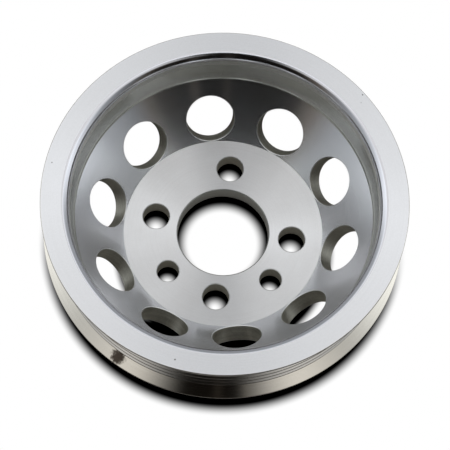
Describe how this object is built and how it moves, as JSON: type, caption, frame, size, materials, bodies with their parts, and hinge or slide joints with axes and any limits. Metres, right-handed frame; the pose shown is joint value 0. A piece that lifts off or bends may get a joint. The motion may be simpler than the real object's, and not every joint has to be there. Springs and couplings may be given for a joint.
{
  "type": "ribbed belt pulley",
  "caption": "Machined aluminium multi-rib belt pulley, dished, with a bored and drilled hub inside a perforated sloping web.",
  "frame": {"origin": "on the pulley's axis, in the plane of the hub's back face, on which it stands", "axes": "+Z along the axis, towards the open front side; +X through the first large bolt hole"},
  "size_m": [0.14, 0.14, 0.0416],
  "materials": {
    "machined_aluminium": "bare turned aluminium, fine lathe marks"
  },
  "bodies": {
    "root": {"drive_pulley": "machined_aluminium"}
  },
  "joints": []
}
